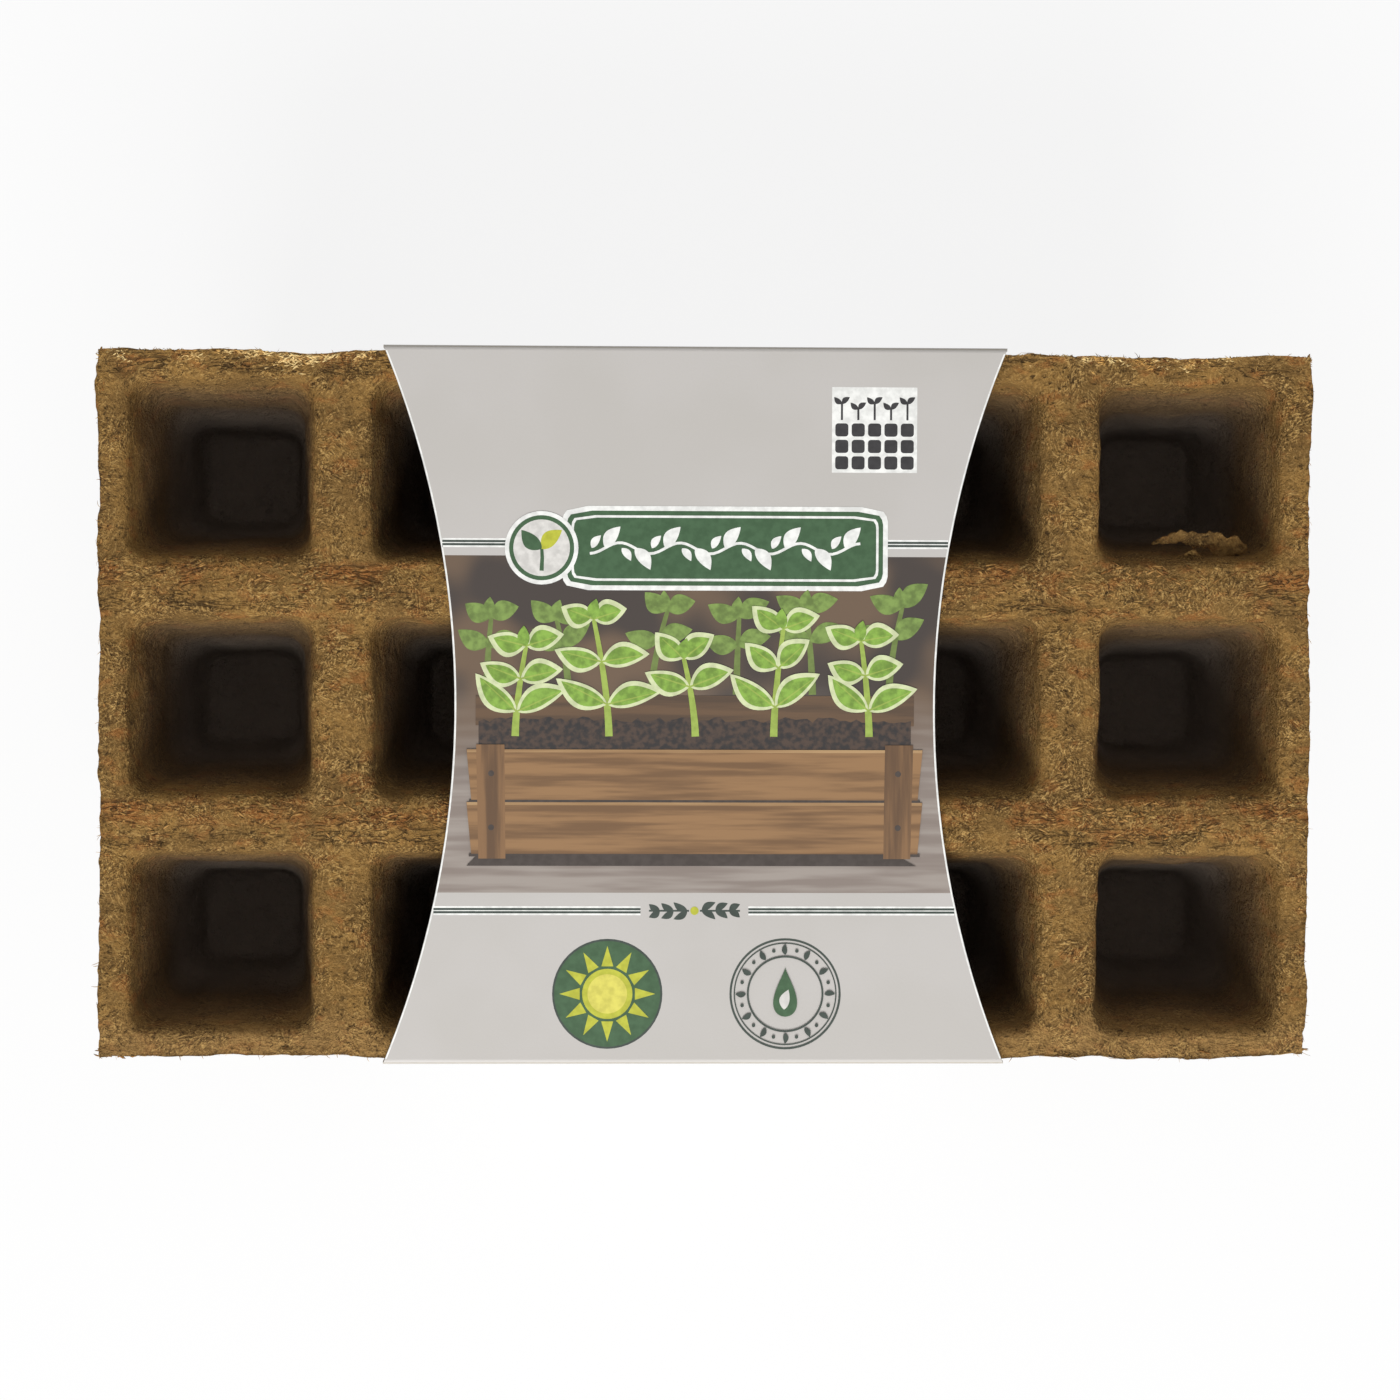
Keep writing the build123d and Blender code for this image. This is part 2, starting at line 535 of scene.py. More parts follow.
def lay_felt(n, cracked):
    """Clumps, three layers of felt, specks and cracks, each in the colour and in the relief."""
    clumps = n.noise(0.8, 5.0, roughness=0.68)
    n.coat(n.ramp(clumps, 0.5, 0.36, 0.6), UMBER)
    relief = n.times(clumps, 2.0)
    loose = n.ramp(n.noise(0.17, 3.0, roughness=0.6), 0.4, 0.62, to_low=0.3)
    for patch, per_mm, pale in ((2.6, 3.2, 0.85), (3.6, 4.0, 0.75), (1.8, 2.5, 0.65)):
        lines = n.felt(patch, per_mm)
        n.coat(n.times(n.ramp(lines, 0.46, 0.34, 0.58), loose), DARK)
        n.coat(n.times(n.ramp(lines, 0.57, 0.7, pale), loose), STRAW)
        relief = n.math("ADD", relief, n.times(n.times(lines, loose), 0.7))
    speckled = n.ramp(n.noise(0.25, 2.0), 0.42, 0.6)
    specks = n.times(n.ramp(n.noise(1.15, 4.0, roughness=0.7), 0.58, 0.68), speckled)
    n.coat(n.times(specks, 0.75), DARK)
    relief = n.math("SUBTRACT", relief, specks)
    layered = n.noise(0.8, 3.0, (0.2, 1.0, 1.0), distortion=0.8)
    crack = n.ramp(n.math("ABSOLUTE", n.math("SUBTRACT", layered, 0.5)), 0.034, 0.008)
    crack = n.times(crack, cracked)
    n.coat(n.times(crack, 0.7), DARK)
    return n.math("SUBTRACT", relief, n.times(crack, 1.5))


def pulp_material(name, painted_shading):
    """Pressed peat and wood fibre: an ochre felt of fine fibres, with russet and dark bits."""
    n = Paint(name, UMBER)
    n.coat(n.ramp(n.noise(0.1, 3.0), 0.38, 0.62), OCHRE)
    n.coat(n.ramp(n.noise(0.55, 4.0, roughness=0.65), 0.4, 0.66, 0.55), UMBER)
    n.coat(n.ramp(n.noise(0.2, 3.0, (1, 1.8, 1)), 0.52, 0.68, 0.6), RUSSET)
    _, y, height = n.split()
    relief = lay_felt(n, tint_rims(n, y))
    # For the top tray only: painted shade that darkens the pots with depth, then painted light on their
    # lower walls and floors.
    for start, end, amount, tone in PAINTED_POT_SHADING if painted_shading else ():
        share = n.ramp(height, (RIM_TOP - start) * MM, (RIM_TOP - end) * MM)
        n.coat(n.times(share, amount), tone)
    return n.finish(0.95, 0.15, n.bump(relief, 0.55))


def board_material():
    """White-faced board: coated outside, and bare greyish board on the inside."""
    n = Paint("board", (194, 190, 186))
    n.coat(n.ramp(n.noise(0.04, 3.0), 0.35, 0.65), (190, 186, 181))
    n.coat(n.ramp(n.noise(3.0, 2.0), 0.3, 0.7, 0.12), (186, 180, 172))
    _, y, height = n.split()
    skin = 0.2
    outer_side = n.math("GREATER_THAN", n.math("ABSOLUTE", y), (SLEEVE_HIGH[1] - skin) * MM)
    outer_top = n.math("GREATER_THAN", height, (PANEL_TOP - skin) * MM)
    outer_base = n.math("LESS_THAN", height, skin * MM)
    outside = n.math("MAXIMUM", n.math("MAXIMUM", outer_side, outer_top), outer_base)
    streaks = n.ramp(n.noise(1.2, 3.0, (1, 0.25, 1)), 0.35, 0.65, 0.5)
    n.colour = n.mix(outside, n.mix(streaks, (176, 168, 152), (158, 149, 133)), n.colour)
    return n.finish(0.5, relief=n.bump(n.noise(2.0, 3.0), 0.02, 0.5))


INK_ROUGHNESS = 0.45


def ink(name, colour, mottle=0.12):
    """Printing ink on the board: a flat colour, a little uneven, with the board's gloss."""
    flat = linear(colour)
    n = Paint("ink_" + name, np.append(flat[:3] * (1 - mottle), 1.0))
    n.coat(n.ramp(n.noise(0.8, 4.0), 0.3, 0.7), np.minimum(flat * (1 + mottle) + 0.01, 1.0))
    return n.finish(INK_ROUGHNESS)


def backdrop_ink():
    """The printed picture's ground: a dim wall over a pale table, out of focus."""
    n = Paint("ink_backdrop", (134, 122, 114))
    n.coat(n.ramp(n.noise(0.6, 2.0, (0.08, 1.0, 1.0)), 0.35, 0.65), (158, 148, 140))
    soft = n.times(n.math("SUBTRACT", n.noise(0.05, 2.0), 0.5), 14 * MM)
    height = n.math("ADD", n.split()[1], soft)
    wall = n.mix(n.ramp(n.noise(0.07, 1.0), 0.4, 0.6), (58, 49, 44), (104, 84, 66))
    n.coat(n.ramp(height, -14 * MM, 4 * MM), wall)
    return n.finish(INK_ROUGHNESS)


def grain_ink(name, pale, deep, per_mm, stretch):
    """A printed wood or soil: two colours mixed by a drawn-out noise."""
    n = Paint("ink_" + name, deep)
    n.coat(n.ramp(n.noise(per_mm, 4.0, stretch), 0.36, 0.64), pale)
    return n.finish(INK_ROUGHNESS)


# The print: flat shapes that lie on the sleeve's top panel, each a little above the last.

PANEL_CENTRE = np.array([SLEEVE_MIDDLE, 0.0])
PANEL_WAIST = 80.0
PANEL_LENGTH = SLEEVE_HIGH[0] - SLEEVE_LOW[0]
PANEL_HALF_WIDTH = SLEEVE_HIGH[1]
EDGE_DEPTH = (PANEL_LENGTH - PANEL_WAIST) / 2
EDGE_RADIUS = (PANEL_HALF_WIDTH**2 + EDGE_DEPTH**2) / (2 * EDGE_DEPTH)
CUT_EDGE = 0.3
INK_STEP = 0.006
INK_LIFT = 0.0008
RULE_HEIGHTS = (27.1, -34.1)
PICTURE_TOP, PICTURE_BOTTOM, PICTURE_SEED = 25.0, -31.1, 7


def panel_edge(height, inset=0.0):
    """How far the top panel's hollowed edge stands from its middle at a height."""
    reach = np.sqrt(EDGE_RADIUS**2 - np.asarray(height, float) ** 2)
    return PANEL_WAIST / 2 + EDGE_RADIUS - reach - inset


class Print:
    """A sheet of inked shapes, each a hair above the one before, that become one piece."""

    def __init__(self, name):
        self.name, self.parts, self.colours = name, [], []

    def shape(self, outline, colour, layer):
        outline = np.asarray(outline, float) + PANEL_CENTRE
        after = np.roll(outline, -1, axis=0)
        if (outline[:, 0] * after[:, 1] - after[:, 0] * outline[:, 1]).sum() < 0:
            outline = outline[::-1]
        height = PANEL_TOP + INK_STEP * layer + INK_LIFT * len(self.parts)
        points = np.column_stack([outline, np.full(len(outline), height)])
        self.parts.append((points, [range(len(outline))]))
        self.colours.append(colour)

    def piece(self):
        used = list(dict.fromkeys(self.colours))
        inks = [INKS[colour] for colour in used]
        made = make_mesh(self.name, *joined(self.parts), inks, smooth=False)
        made.data.polygons.foreach_set("material_index", [used.index(colour) for colour in self.colours])
        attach(made, "sleeve")


def turned(points, angle, at=(0, 0)):
    cos, sin = math.cos(angle), math.sin(angle)
    x, y = np.asarray(points, float).T
    return np.column_stack([x * cos - y * sin, x * sin + y * cos]) + at


def facing(angle):
    """The direction of an angle, or a row for each of several."""
    return np.stack([np.cos(angle), np.sin(angle)], axis=-1)


def circle(centre, radius, count=48):
    return facing(np.arange(count) / count * 2 * math.pi) * radius + centre


def rectangle(left, bottom, right, top):
    return [(left, bottom), (right, bottom), (right, top), (left, top)]


def plaque(left, bottom, right, top, radius):
    """A rectangle with round corners."""
    half_x, half_y = (right - left) / 2, (top - bottom) / 2
    return ring(half_x, half_y, radius, 0, 14)[:, :2] + [(left + right) / 2, (bottom + top) / 2]


def leaf(base, angle, length, width, count=14):
    """A pointed oval from its base, curving a little to one side."""
    along = np.arange(count + 1) / count
    half = width / 2 * np.sin(math.pi * along**0.85) ** 0.9
    bow = 0.08 * length * np.sin(math.pi * along)
    upper = np.column_stack([along * length, half + bow])
    lower = np.column_stack([along * length, -half + bow])
    return turned(np.concatenate([lower, upper[-2:0:-1]]), angle, base)


def ribbon(points, widths):
    """A tapering stroke along points."""
    points = np.asarray(points, float)
    way = np.gradient(points, axis=0)
    side = np.column_stack([-way[:, 1], way[:, 0]]) / np.linalg.norm(way, axis=1)[:, None]
    half = np.asarray(widths)[:, None] / 2
    return np.concatenate([points + side * half, (points - side * half)[::-1]])


def print_rules(sheet):
    """Two rules from edge to edge, each a dark double line between thin white ones."""
    gaps = ((-30.2, 31.9), (-9.0, 9.0))
    for height, (gap_left, gap_right) in zip(RULE_HEIGHTS, gaps):
        edge = float(panel_edge(height, CUT_EDGE))
        for left, right in ((-edge, gap_left), (gap_right, edge)):
            sheet.shape(rectangle(left, height - 0.75, right, height + 0.75), "white", 1)
            for low, high in ((-0.45, -0.08), (0.08, 0.45)):
                sheet.shape(rectangle(left, height + low, right, height + high), "black_green", 2)


def print_cut_edges(sheet):
    """The white line of the board's cut along the hollowed edges."""
    heights = np.linspace(-PANEL_HALF_WIDTH + 1, PANEL_HALF_WIDTH - 1, 49)
    for side in (-1, 1):
        outer = np.column_stack([side * panel_edge(heights, 0.02), heights])
        inner = np.column_stack([side * panel_edge(heights, CUT_EDGE), heights])
        sheet.shape(np.concatenate([outer, inner[::-1]]), "white", 1)


def print_banner(sheet):
    """A green plaque with a white line and a vine on it, and a sprout in a ring beside it."""
    left, bottom, right, top = -21.4, 20.1, 31.2, 32.5
    for inset, radius, colour, layer in (
        (-0.8, 2.6, "white", 6),
        (0.0, 2.2, "green", 7),
        (0.75, 1.7, "white", 8),
        (1.15, 1.5, "green", 9),
    ):
        outline = plaque(left + inset, bottom + inset, right - inset, top - inset, radius)
        sheet.shape(outline, colour, layer)
    middle = (bottom + top) / 2
    count, spacing = 9, 5.0
    start = (left + right) / 2 - spacing * (count - 1) / 2
    vine = np.linspace(start - 2.5, start + spacing * (count - 1) + 2.5, 60)
    wave = middle + 0.9 * np.sin((vine - start) / spacing * math.pi)
    sheet.shape(ribbon(np.column_stack([vine, wave]), np.full(60, 0.45)), "white", 10)
    for index in range(count):
        side = (-1) ** index
        base = (start + spacing * index, middle)
        sheet.shape(leaf(base, side * 0.95, 4.4, 2.2), "white", 11)
        sheet.shape(leaf((base[0] - 2.2, middle), -side * 2.2 + math.pi, 2.6, 1.3), "white", 11)
    ring_x = -25.6
    for radius, colour, layer in ((6.1, "white", 12), (5.4, "green", 13), (4.7, "paper", 14)):
        sheet.shape(circle((ring_x, middle), radius), colour, layer)
    stem = [(ring_x, middle - 3.8), (ring_x + 0.1, middle - 1.6), (ring_x, middle + 0.4)]
    sheet.shape(ribbon(stem, [0.7, 0.6, 0.5]), "green", 15)
    for angle, colour in ((0.75, "lime"), (math.pi - 0.75, "green")):
        sheet.shape(leaf((ring_x, middle - 0.2), angle, 4.6, 2.5), colour, 16)


def print_icon(sheet):
    """A tray of pots with a row of sprouts over it, as a small dark sign."""
    left, bottom, side = 22.6, 39.0, 14.2
    sheet.shape(rectangle(left, bottom, left + side, bottom + side), "white", 1)
    gap = 0.55
    cell = (side - gap * (COLUMNS + 1)) / COLUMNS
    for column in range(COLUMNS):
        for row in range(ROWS):
            x, y = left + gap + column * (cell + gap), bottom + gap + row * (cell + gap)
            sheet.shape(plaque(x, y, x + cell, y + cell, 0.5), "black", 2)
    ground = bottom + gap + ROWS * (cell + gap)
    for column in range(COLUMNS):
        x = left + gap + cell / 2 + column * (cell + gap)
        tall = 2.0 if column % 2 else 2.9
        sheet.shape(ribbon([(x, ground), (x, ground + tall)], [0.34, 0.34]), "black", 2)
        for angle in (0.7, math.pi - 0.7):
            sheet.shape(leaf((x, ground + tall - 0.2), angle, 1.7, 0.9), "black", 2)


def print_badges(sheet):
    """A sun on a green disc, and a drop inside a ringed border."""
    sun, radius = (-14.5, -48.0), 9.2
    sheet.shape(circle(sun, radius), "black_green", 1)
    sheet.shape(circle(sun, radius - 0.35), "green", 2)
    for index in range(12):
        angle = index * math.pi / 6
        wedge = turned([(4.6, -1.0), (8.0, 0.0), (4.6, 1.0)], angle, sun)
        sheet.shape(wedge, "lime", 3)
    sheet.shape(circle(sun, 4.2), "lime", 4)
    sheet.shape(circle(sun, 3.3), "yellow", 5)
    drop, radius = (15.2, -48.0), 9.3
    for radii in ((radius, radius - 0.35), (radius - 0.7, radius - 0.9), (6.4, 6.1)):
        outer, inner = (circle(drop, size, 72) for size in radii)
        for corners in zip(outer, np.roll(outer, -1, axis=0), np.roll(inner, -1, axis=0), inner):
            sheet.shape(corners, "black_green", 1)
    for index in range(24):
        angle = index * math.pi / 12
        way = facing(angle)
        at = drop + 7.45 * way
        mark = circle(at, 0.3, 12) if index % 2 else leaf(at - 0.9 * way, angle, 1.8, 0.9)
        sheet.shape(mark, "black_green", 2)
    count = 40
    share = np.arange(count) / count * 2 * math.pi
    tear = np.column_stack([2.9 * np.sin(share) * np.sin(share / 2) ** 1.6, 4.1 * np.cos(share)])
    sheet.shape(tear + drop + (0, 0.3), "green", 2)
    sheet.shape(leaf((drop[0] - 0.2, drop[1] - 2.6), 1.35, 3.4, 1.7), "paper", 3)


def print_sprig(sheet):
    """The small sprig in the gap of the lower rule."""
    middle = RULE_HEIGHTS[1]
    for side in (-1, 1):
        for index in range(3):
            base = (side * (1.2 + 2.3 * index), middle)
            for tilt in (0.55, -0.55):
                angle = tilt if side > 0 else math.pi - tilt
                sheet.shape(leaf(base, angle, 2.7 - 0.3 * index, 1.15), "black_green", 2)
        line = [(side * 0.9, middle), (side * 7.6, middle)]
        sheet.shape(ribbon(line, [0.3, 0.3]), "black_green", 1)
    sheet.shape(circle((0, middle), 0.7, 20), "lime", 3)


def print_picture(sheet):
    """A printed picture of young plants in a wooden trough on a table."""
    heights = np.linspace(PICTURE_BOTTOM, PICTURE_TOP, 41)
    right, left = (np.column_stack([side * panel_edge(heights, CUT_EDGE), heights]) for side in (1, -1))
    sheet.shape(np.concatenate([right, left[::-1]]), "backdrop", 1)
    draws = random.Random(PICTURE_SEED)
    for index in range(6):
        base = (-34 + 13.2 * index + draws.uniform(-2, 2), 2.0)
        sprout(sheet, base, draws.uniform(12, 17), draws.uniform(-0.2, 0.2), draws, near=False, layer=2)
    sheet.shape(rectangle(-36.5, -3.2, 36.5, 1.8), "back_board", 7)
    soil_x = np.linspace(-36, 36, 80)
    soil_top = -2.2 + np.array([draws.uniform(-0.5, 0.5) for _ in soil_x])
    soil = np.concatenate([np.column_stack([soil_x, soil_top]), [(36, -9), (-36, -9)]])
    sheet.shape(soil, "soil", 8)
    for index, tall in enumerate((15.0, 19.5, 13.0, 18.0, 16.0)):
        base = (-28.5 + 14.2 * index + draws.uniform(-1.5, 1.5), -5.0)
        sprout(sheet, base, tall, draws.uniform(-0.16, 0.16), draws, near=True, layer=9)
    for index, (low, high) in enumerate(((-15.6, -7.2), (-24.6, -16.0))):
        sheet.shape([(-38, high), (-37.2, low), (37.2, low), (38, high)], "board_wood", 14)
        sheet.shape(rectangle(-37.6, low - 0.45, 37.6, low), "shadow", 15)
        sheet.shape(rectangle(-37.9, high - 0.5, 37.9, high), "pale_wood", 15)
    for side in (-1, 1):
        post = [(side * 31.5, -25.4), (side * 36.0, -25.4), (side * 36.4, -6.4), (side * 31.7, -6.4)]
        sheet.shape(post, "post_wood", 16)
        for height in (-11.2, -20.2):
            sheet.shape(circle((side * 33.9, height), 0.5, 16), "shadow", 17)
    shade = [(-38, -26.6), (37, -26.6), (33, -24.6), (-36, -24.6)]
    sheet.shape(shade, "shadow", 6)


def sprout(sheet, base, tall, lean, draws, near, layer):
    """A stem with two or three pairs of leaves, pale-edged on a near one."""
    share = np.linspace(0, 1, 12)
    line = base + np.column_stack([lean * tall * share**1.6, tall * share])
    sheet.shape(ribbon(line, 1.25 - 0.55 * share), "stem" if near else "far_stem", layer)
    for pair in range(2 if tall < 15 else 3):
        at = line[-1 - 4 * pair]
        length = (6.4 + 1.1 * pair) * draws.uniform(0.88, 1.12)
        for side in (-1, 1):
            rise = draws.uniform(0.15, 0.75)
            angle = rise if side > 0 else math.pi - rise
            tone = layer + 1 + pair
            if not near:
                sheet.shape(leaf(at, angle, length * 0.85, 3.3), "far_leaf", tone)
                continue
            sheet.shape(leaf(at, angle, length, 4.2), "leaf_edge", tone)
            way = facing(angle)
            sheet.shape(leaf(at + 0.5 * way, angle, length - 1.5, 2.9), "leaf", tone + 0.4)
            vein = [at, at + (length - 1.6) * way]
            sheet.shape(ribbon(vein, [0.3, 0.12]), "stem", tone + 0.8)
    tip = leaf(line[-1], math.pi / 2 + lean, 3.4, 2.0)
    sheet.shape(tip, "leaf" if near else "far_leaf", layer + 4)


PLAIN_INKS = dict(
    white=(236, 236, 232),
    paper=(214, 211, 206),
    green=(50, 84, 50),
    black_green=(44, 56, 48),
    black=(34, 32, 34),
    lime=(182, 184, 50),
    yellow=(212, 204, 88),
    stem=(150, 172, 74),
    leaf_edge=(206, 214, 168),
    far_stem=(104, 122, 58),
    shadow=(56, 46, 40),
)
MOTTLED_INKS = dict(leaf=(122, 158, 58), far_leaf=(112, 136, 64))
ALONG_X, ALONG_Y = (0.06, 1, 1), (1, 0.06, 1)
GRAIN_INKS = dict(
    soil=((70, 54, 44), (28, 24, 24), 1.1, (1, 1, 1)),
    board_wood=((148, 112, 74), (110, 80, 50), 0.7, ALONG_X),
    pale_wood=((178, 144, 102), (150, 116, 78), 0.7, ALONG_X),
    post_wood=((132, 98, 64), (92, 66, 42), 0.7, ALONG_Y),
    back_board=((98, 74, 52), (74, 56, 40), 0.7, ALONG_X),
)
INKS = {"backdrop": backdrop_ink()}
INKS.update({name: ink(name, colour) for name, colour in PLAIN_INKS.items()})
INKS.update({name: ink(name, colour, 0.3) for name, colour in MOTTLED_INKS.items()})
INKS.update({name: grain_ink(name, *recipe) for name, recipe in GRAIN_INKS.items()})


# Fibres: thin three-sided strands that lie on the pulp, and stick out where it is torn.


def straw_material(name, deep, pale):
    """Loose fibres and flakes, each taking its tone from where it lies."""
    n = Paint(name, deep)
    n.coat(n.ramp(n.noise(0.45, 2.0), 0.36, 0.64), pale)
    n.coat(n.ramp(n.noise(0.3, 2.0, (1.3, 1, 1)), 0.56, 0.64), (118, 78, 40))
    return n.finish(0.85, 0.2, n.bump(n.noise(4.0, 2.0), 0.03, 0.6))


def tube_faces(rings, sides):
    """Faces of a closed tube: its two ends, and the walls between its rings."""
    last = (rings - 1) * sides
    faces = [list(range(sides))[::-1], list(range(last, last + sides))]
    for low in range(0, last, sides):
        for corner in range(sides):
            after = (corner + 1) % sides
            faces.append([low + corner, low + after, low + sides + after, low + sides + corner])
    return faces


def strand(path, radius):
    """Points and faces of a tube of three sides that tapers to both ends."""
    path = np.asarray(path)
    way = np.gradient(path, axis=0)
    way /= np.linalg.norm(way, axis=1)[:, None] + 1e-9
    side = np.cross(way, (0.13, 0.21, 1.0))
    side /= np.linalg.norm(side, axis=1)[:, None] + 1e-9
    over = np.cross(side, way)
    share = np.arange(len(path)) / (len(path) - 1)
    girth = radius * (0.35 + 0.65 * np.sin(math.pi * share) ** 0.5)
    points = []
    for corner in range(3):
        angle = corner * 2 * math.pi / 3 + math.pi / 2
        points.append(path + (side * math.cos(angle) + over * math.sin(angle)) * girth[:, None])
    return np.stack(points, axis=1).reshape(-1, 3), tube_faces(len(path), 3)


def lay_fibre(tree, start, way, length, draws, lift):
    """A path for a strand, along the surface near it and lifting off towards its end."""
    steps = max(3, int(length / 0.9))
    path, at, heading = [], Vector(start), Vector(way).normalized()
    for step in range(steps + 1):
        near, normal, _, _ = tree.find_nearest(at)
        raised = lift * (step / steps) ** 2
        path.append(near + normal * (0.05 + raised))
        heading = (heading - normal * heading.dot(normal)).normalized()
        swing = Vector([draws.uniform(-1, 1) for _ in range(3)])
        heading = (heading + swing * 0.22).normalized()
        at = near + heading * (length / steps)
    return [tuple(point) for point in path]


def under_sleeve(point):
    """True where the sleeve lies over or beside the trays at rest, or close by."""
    x, y = abs(point[0] - SLEEVE_MIDDLE), abs(point[1])
    beside = y > HALF_Y - 1.5 and x < PANEL_LENGTH / 2 + 1.5
    return beside or x < panel_edge(min(y, PANEL_HALF_WIDTH - 0.1)) + 1.0


def loose_piece(name, parts, material):
    """One piece of many strands or flakes, which rides with the trays."""
    made = make_mesh(name, *joined(list(parts)), [material])
    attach(made, "trays")


def scatter(name, material, count, seed, parts_of, *where):
    """A piece of so many parts from an endless maker of them."""
    loose_piece(name, itertools.islice(parts_of(random.Random(seed), *where), count), material)


def tree_of(piece):
    """A tree for finding the nearest surface of a piece, in millimetres."""
    corners = vectors(piece.data.vertices, "co") / MM
    return BVHTree.FromPolygons(corners.tolist(), [tuple(face.vertices) for face in piece.data.polygons])


def rim_fibres(draws, tree):
    """Strands that lie on the top tray's rims and over its lips, a few of them long."""
    for index in itertools.count():
        across = 0 if draws.random() < 0.45 else 1
        half, other_half = HALF[across], HALF[1 - across]
        rim = draws.randint(0, (COLUMNS, ROWS)[across]) * (PITCH_X, PITCH_Y)[across] - half
        rim = max(-half + 2, min(half - 2, rim)) + draws.gauss(0, 2.4)
        along = draws.uniform(-other_half, other_half)
        x, y = (along, rim) if across else (rim, along)
        depth = max(0.0, draws.gauss(-1.0, 3.0))
        angle = draws.uniform(0, 2 * math.pi)
        way = (math.cos(angle), math.sin(angle), 0.0)
        long_one = index % 40 == 0
        length = draws.uniform(3.5, 7.5) if long_one else draws.uniform(0.9, 3.2)
        radius = draws.uniform(0.06, 0.1) if long_one else draws.uniform(0.03, 0.065)
        free = not under_sleeve((x, y))
        lift = draws.uniform(0, 0.6) if free and draws.random() < 0.15 else 0.0
        path = lay_fibre(tree, (x, y, RIM_TOP - depth), way, length, draws, lift)
        if not free:
            path = [(px, py, min(pz, RIM_TOP + 0.15)) for px, py, pz in path]
        yield strand(path, radius)


# How far a strand may stand out of a tray's edge.
FIBRE_REACH = 1.5


def edge_place(draws):
    """A random place on a tray's outer edge, and the way out of it, clear of the sleeve."""
    while True:
        way_round = draws.uniform(0, 4 * (HALF_X + HALF_Y))
        along = int(way_round >= 4 * HALF_X)
        way_round -= along * 4 * HALF_X
        out = np.zeros(2)
        out[1 - along] = 1 if way_round < 2 * HALF[along] else -1
        start = out * HALF
        start[along] = way_round % (2 * HALF[along]) - HALF[along]
        if not under_sleeve(start):
            return start, out


def edge_fibres(draws, number):
    """Strands that stick out of a tray's torn outer edge."""
    while True:
        start, out = edge_place(draws)
        start = start + out * (wave_at(start, number) - 0.8)
        heading = turned([out], draws.gauss(0, 1.0))[0]
        length = draws.uniform(0.5, 1.4) if draws.random() < 0.9 else draws.uniform(1.4, 2.8)
        reach = max(0.0, float(heading @ out)) * length
        length *= min(1.0, FIBRE_REACH / max(reach, 1e-6))
        height = tray_top(number) - draws.uniform(0.1, 1.7)
        bend = draws.uniform(-1.1, 1.1)
        rise = draws.uniform(-0.35, 0.2)
        path = []
        for step in range(5):
            share = step / 4
            flat = start + turned([heading], bend * share)[0] * length * share
            path.append((*flat, min(height + rise * length * share, tray_top(number) + 0.25)))
        yield strand(path, draws.uniform(0.03, 0.07))


def flake(place, way, normal, size, draws):
    """A splinter of pulp: an uneven lens of six corners, drawn out along one direction."""
    way, normal = Vector(way).normalized(), Vector(normal).normalized()
    side = normal.cross(way).normalized()
    length, width, thickness = size
    points = []
    for corner in range(6):
        angle = corner * math.pi / 3 + draws.uniform(-0.3, 0.3)
        reach = draws.uniform(0.7, 1.15)
        flat = way * (length / 2 * math.cos(angle) * reach) + side * (width / 2 * math.sin(angle) * reach)
        points.append(Vector(place) + flat + normal * draws.uniform(-0.25, 0.25) * thickness)
    points.append(Vector(place) + normal * thickness / 2)
    points.append(Vector(place) - normal * thickness / 2)
    faces = []
    for corner in range(6):
        after = (corner + 1) % 6
        faces += [[corner, after, 6], [after, corner, 7]]
    return np.array([tuple(point) for point in points]), faces


def edge_flakes(draws, number):
    """Torn chips along a tray's outer edge."""
    top = tray_top(number)
    while True:
        start, out = edge_place(draws)
        along = np.array([-out[1], out[0]])
        inward = draws.uniform(0.35, 1.4) - wave_at(start, number)
        place = start - out * inward
        height = top - draws.uniform(0.1, 1.5)
        way = along + out * draws.gauss(0, 0.35)
        size = (draws.uniform(0.6, 1.9), draws.uniform(0.25, 0.6), draws.uniform(0.15, 0.35))
        normal = (draws.gauss(0, 0.35), draws.gauss(0, 0.35), 1)
        way = (*way, draws.gauss(0, 0.2))
        yield flake((*place, min(height, top - 0.15)), way, normal, size, draws)


def far_edge_flakes(draws):
    """Torn chips along the top tray's +Y edge, in a pale band; their paleness is painted light, for the
    bright backlit edge.
    """
    while True:
        x = draws.uniform(-HALF_X + 0.5, HALF_X - 0.5)
        thick = 0.5 + 0.5 * float(noise(np.array([[x, 0.0, 0.0]]), 9.0, 5)[0])
        if under_sleeve((x, HALF_Y)) or draws.random() > 0.25 + thick:
            continue
        inward = 0.35 + abs(draws.gauss(0, 0.35 + 0.9 * thick))
        y = HALF_Y - inward + wave_at((x, HALF_Y), 1)
        place = (x, y, RIM_TOP - 0.25 * draws.random() - 0.12 * inward)
        size = (draws.uniform(0.4, 1.9), draws.uniform(0.1, 0.34), draws.uniform(0.08, 0.2))
        way = (1, draws.gauss(0, 0.5), draws.gauss(0, 0.15))
        yield flake(place, way, (0, draws.gauss(-0.2, 0.4), 1), size, draws)


def web_flakes(draws, tree):
    """Thin russet layers that lie on the rims that run along X."""
    while True:
        row = draws.choice((-0.5, 0.5)) * PITCH_Y
        x, y = draws.uniform(-HALF_X + 1, HALF_X - 1), row + draws.gauss(1.4, 1.9)
        if noise(np.array([[x, y, 0.0]]), 8.0, 6)[0] < draws.gauss(0, 0.3):
            continue
        near, normal, _, _ = tree.find_nearest(Vector((x, y, RIM_TOP)))
        size = (draws.uniform(0.6, 2.6), draws.uniform(0.14, 0.5), 0.14)
        way = (1, draws.gauss(0, 0.55), 0)
        tilted = normal + Vector((draws.gauss(0, 0.08), draws.gauss(0, 0.14), 0))
        yield flake(near - normal * 0.02, way, tilted, size, draws)


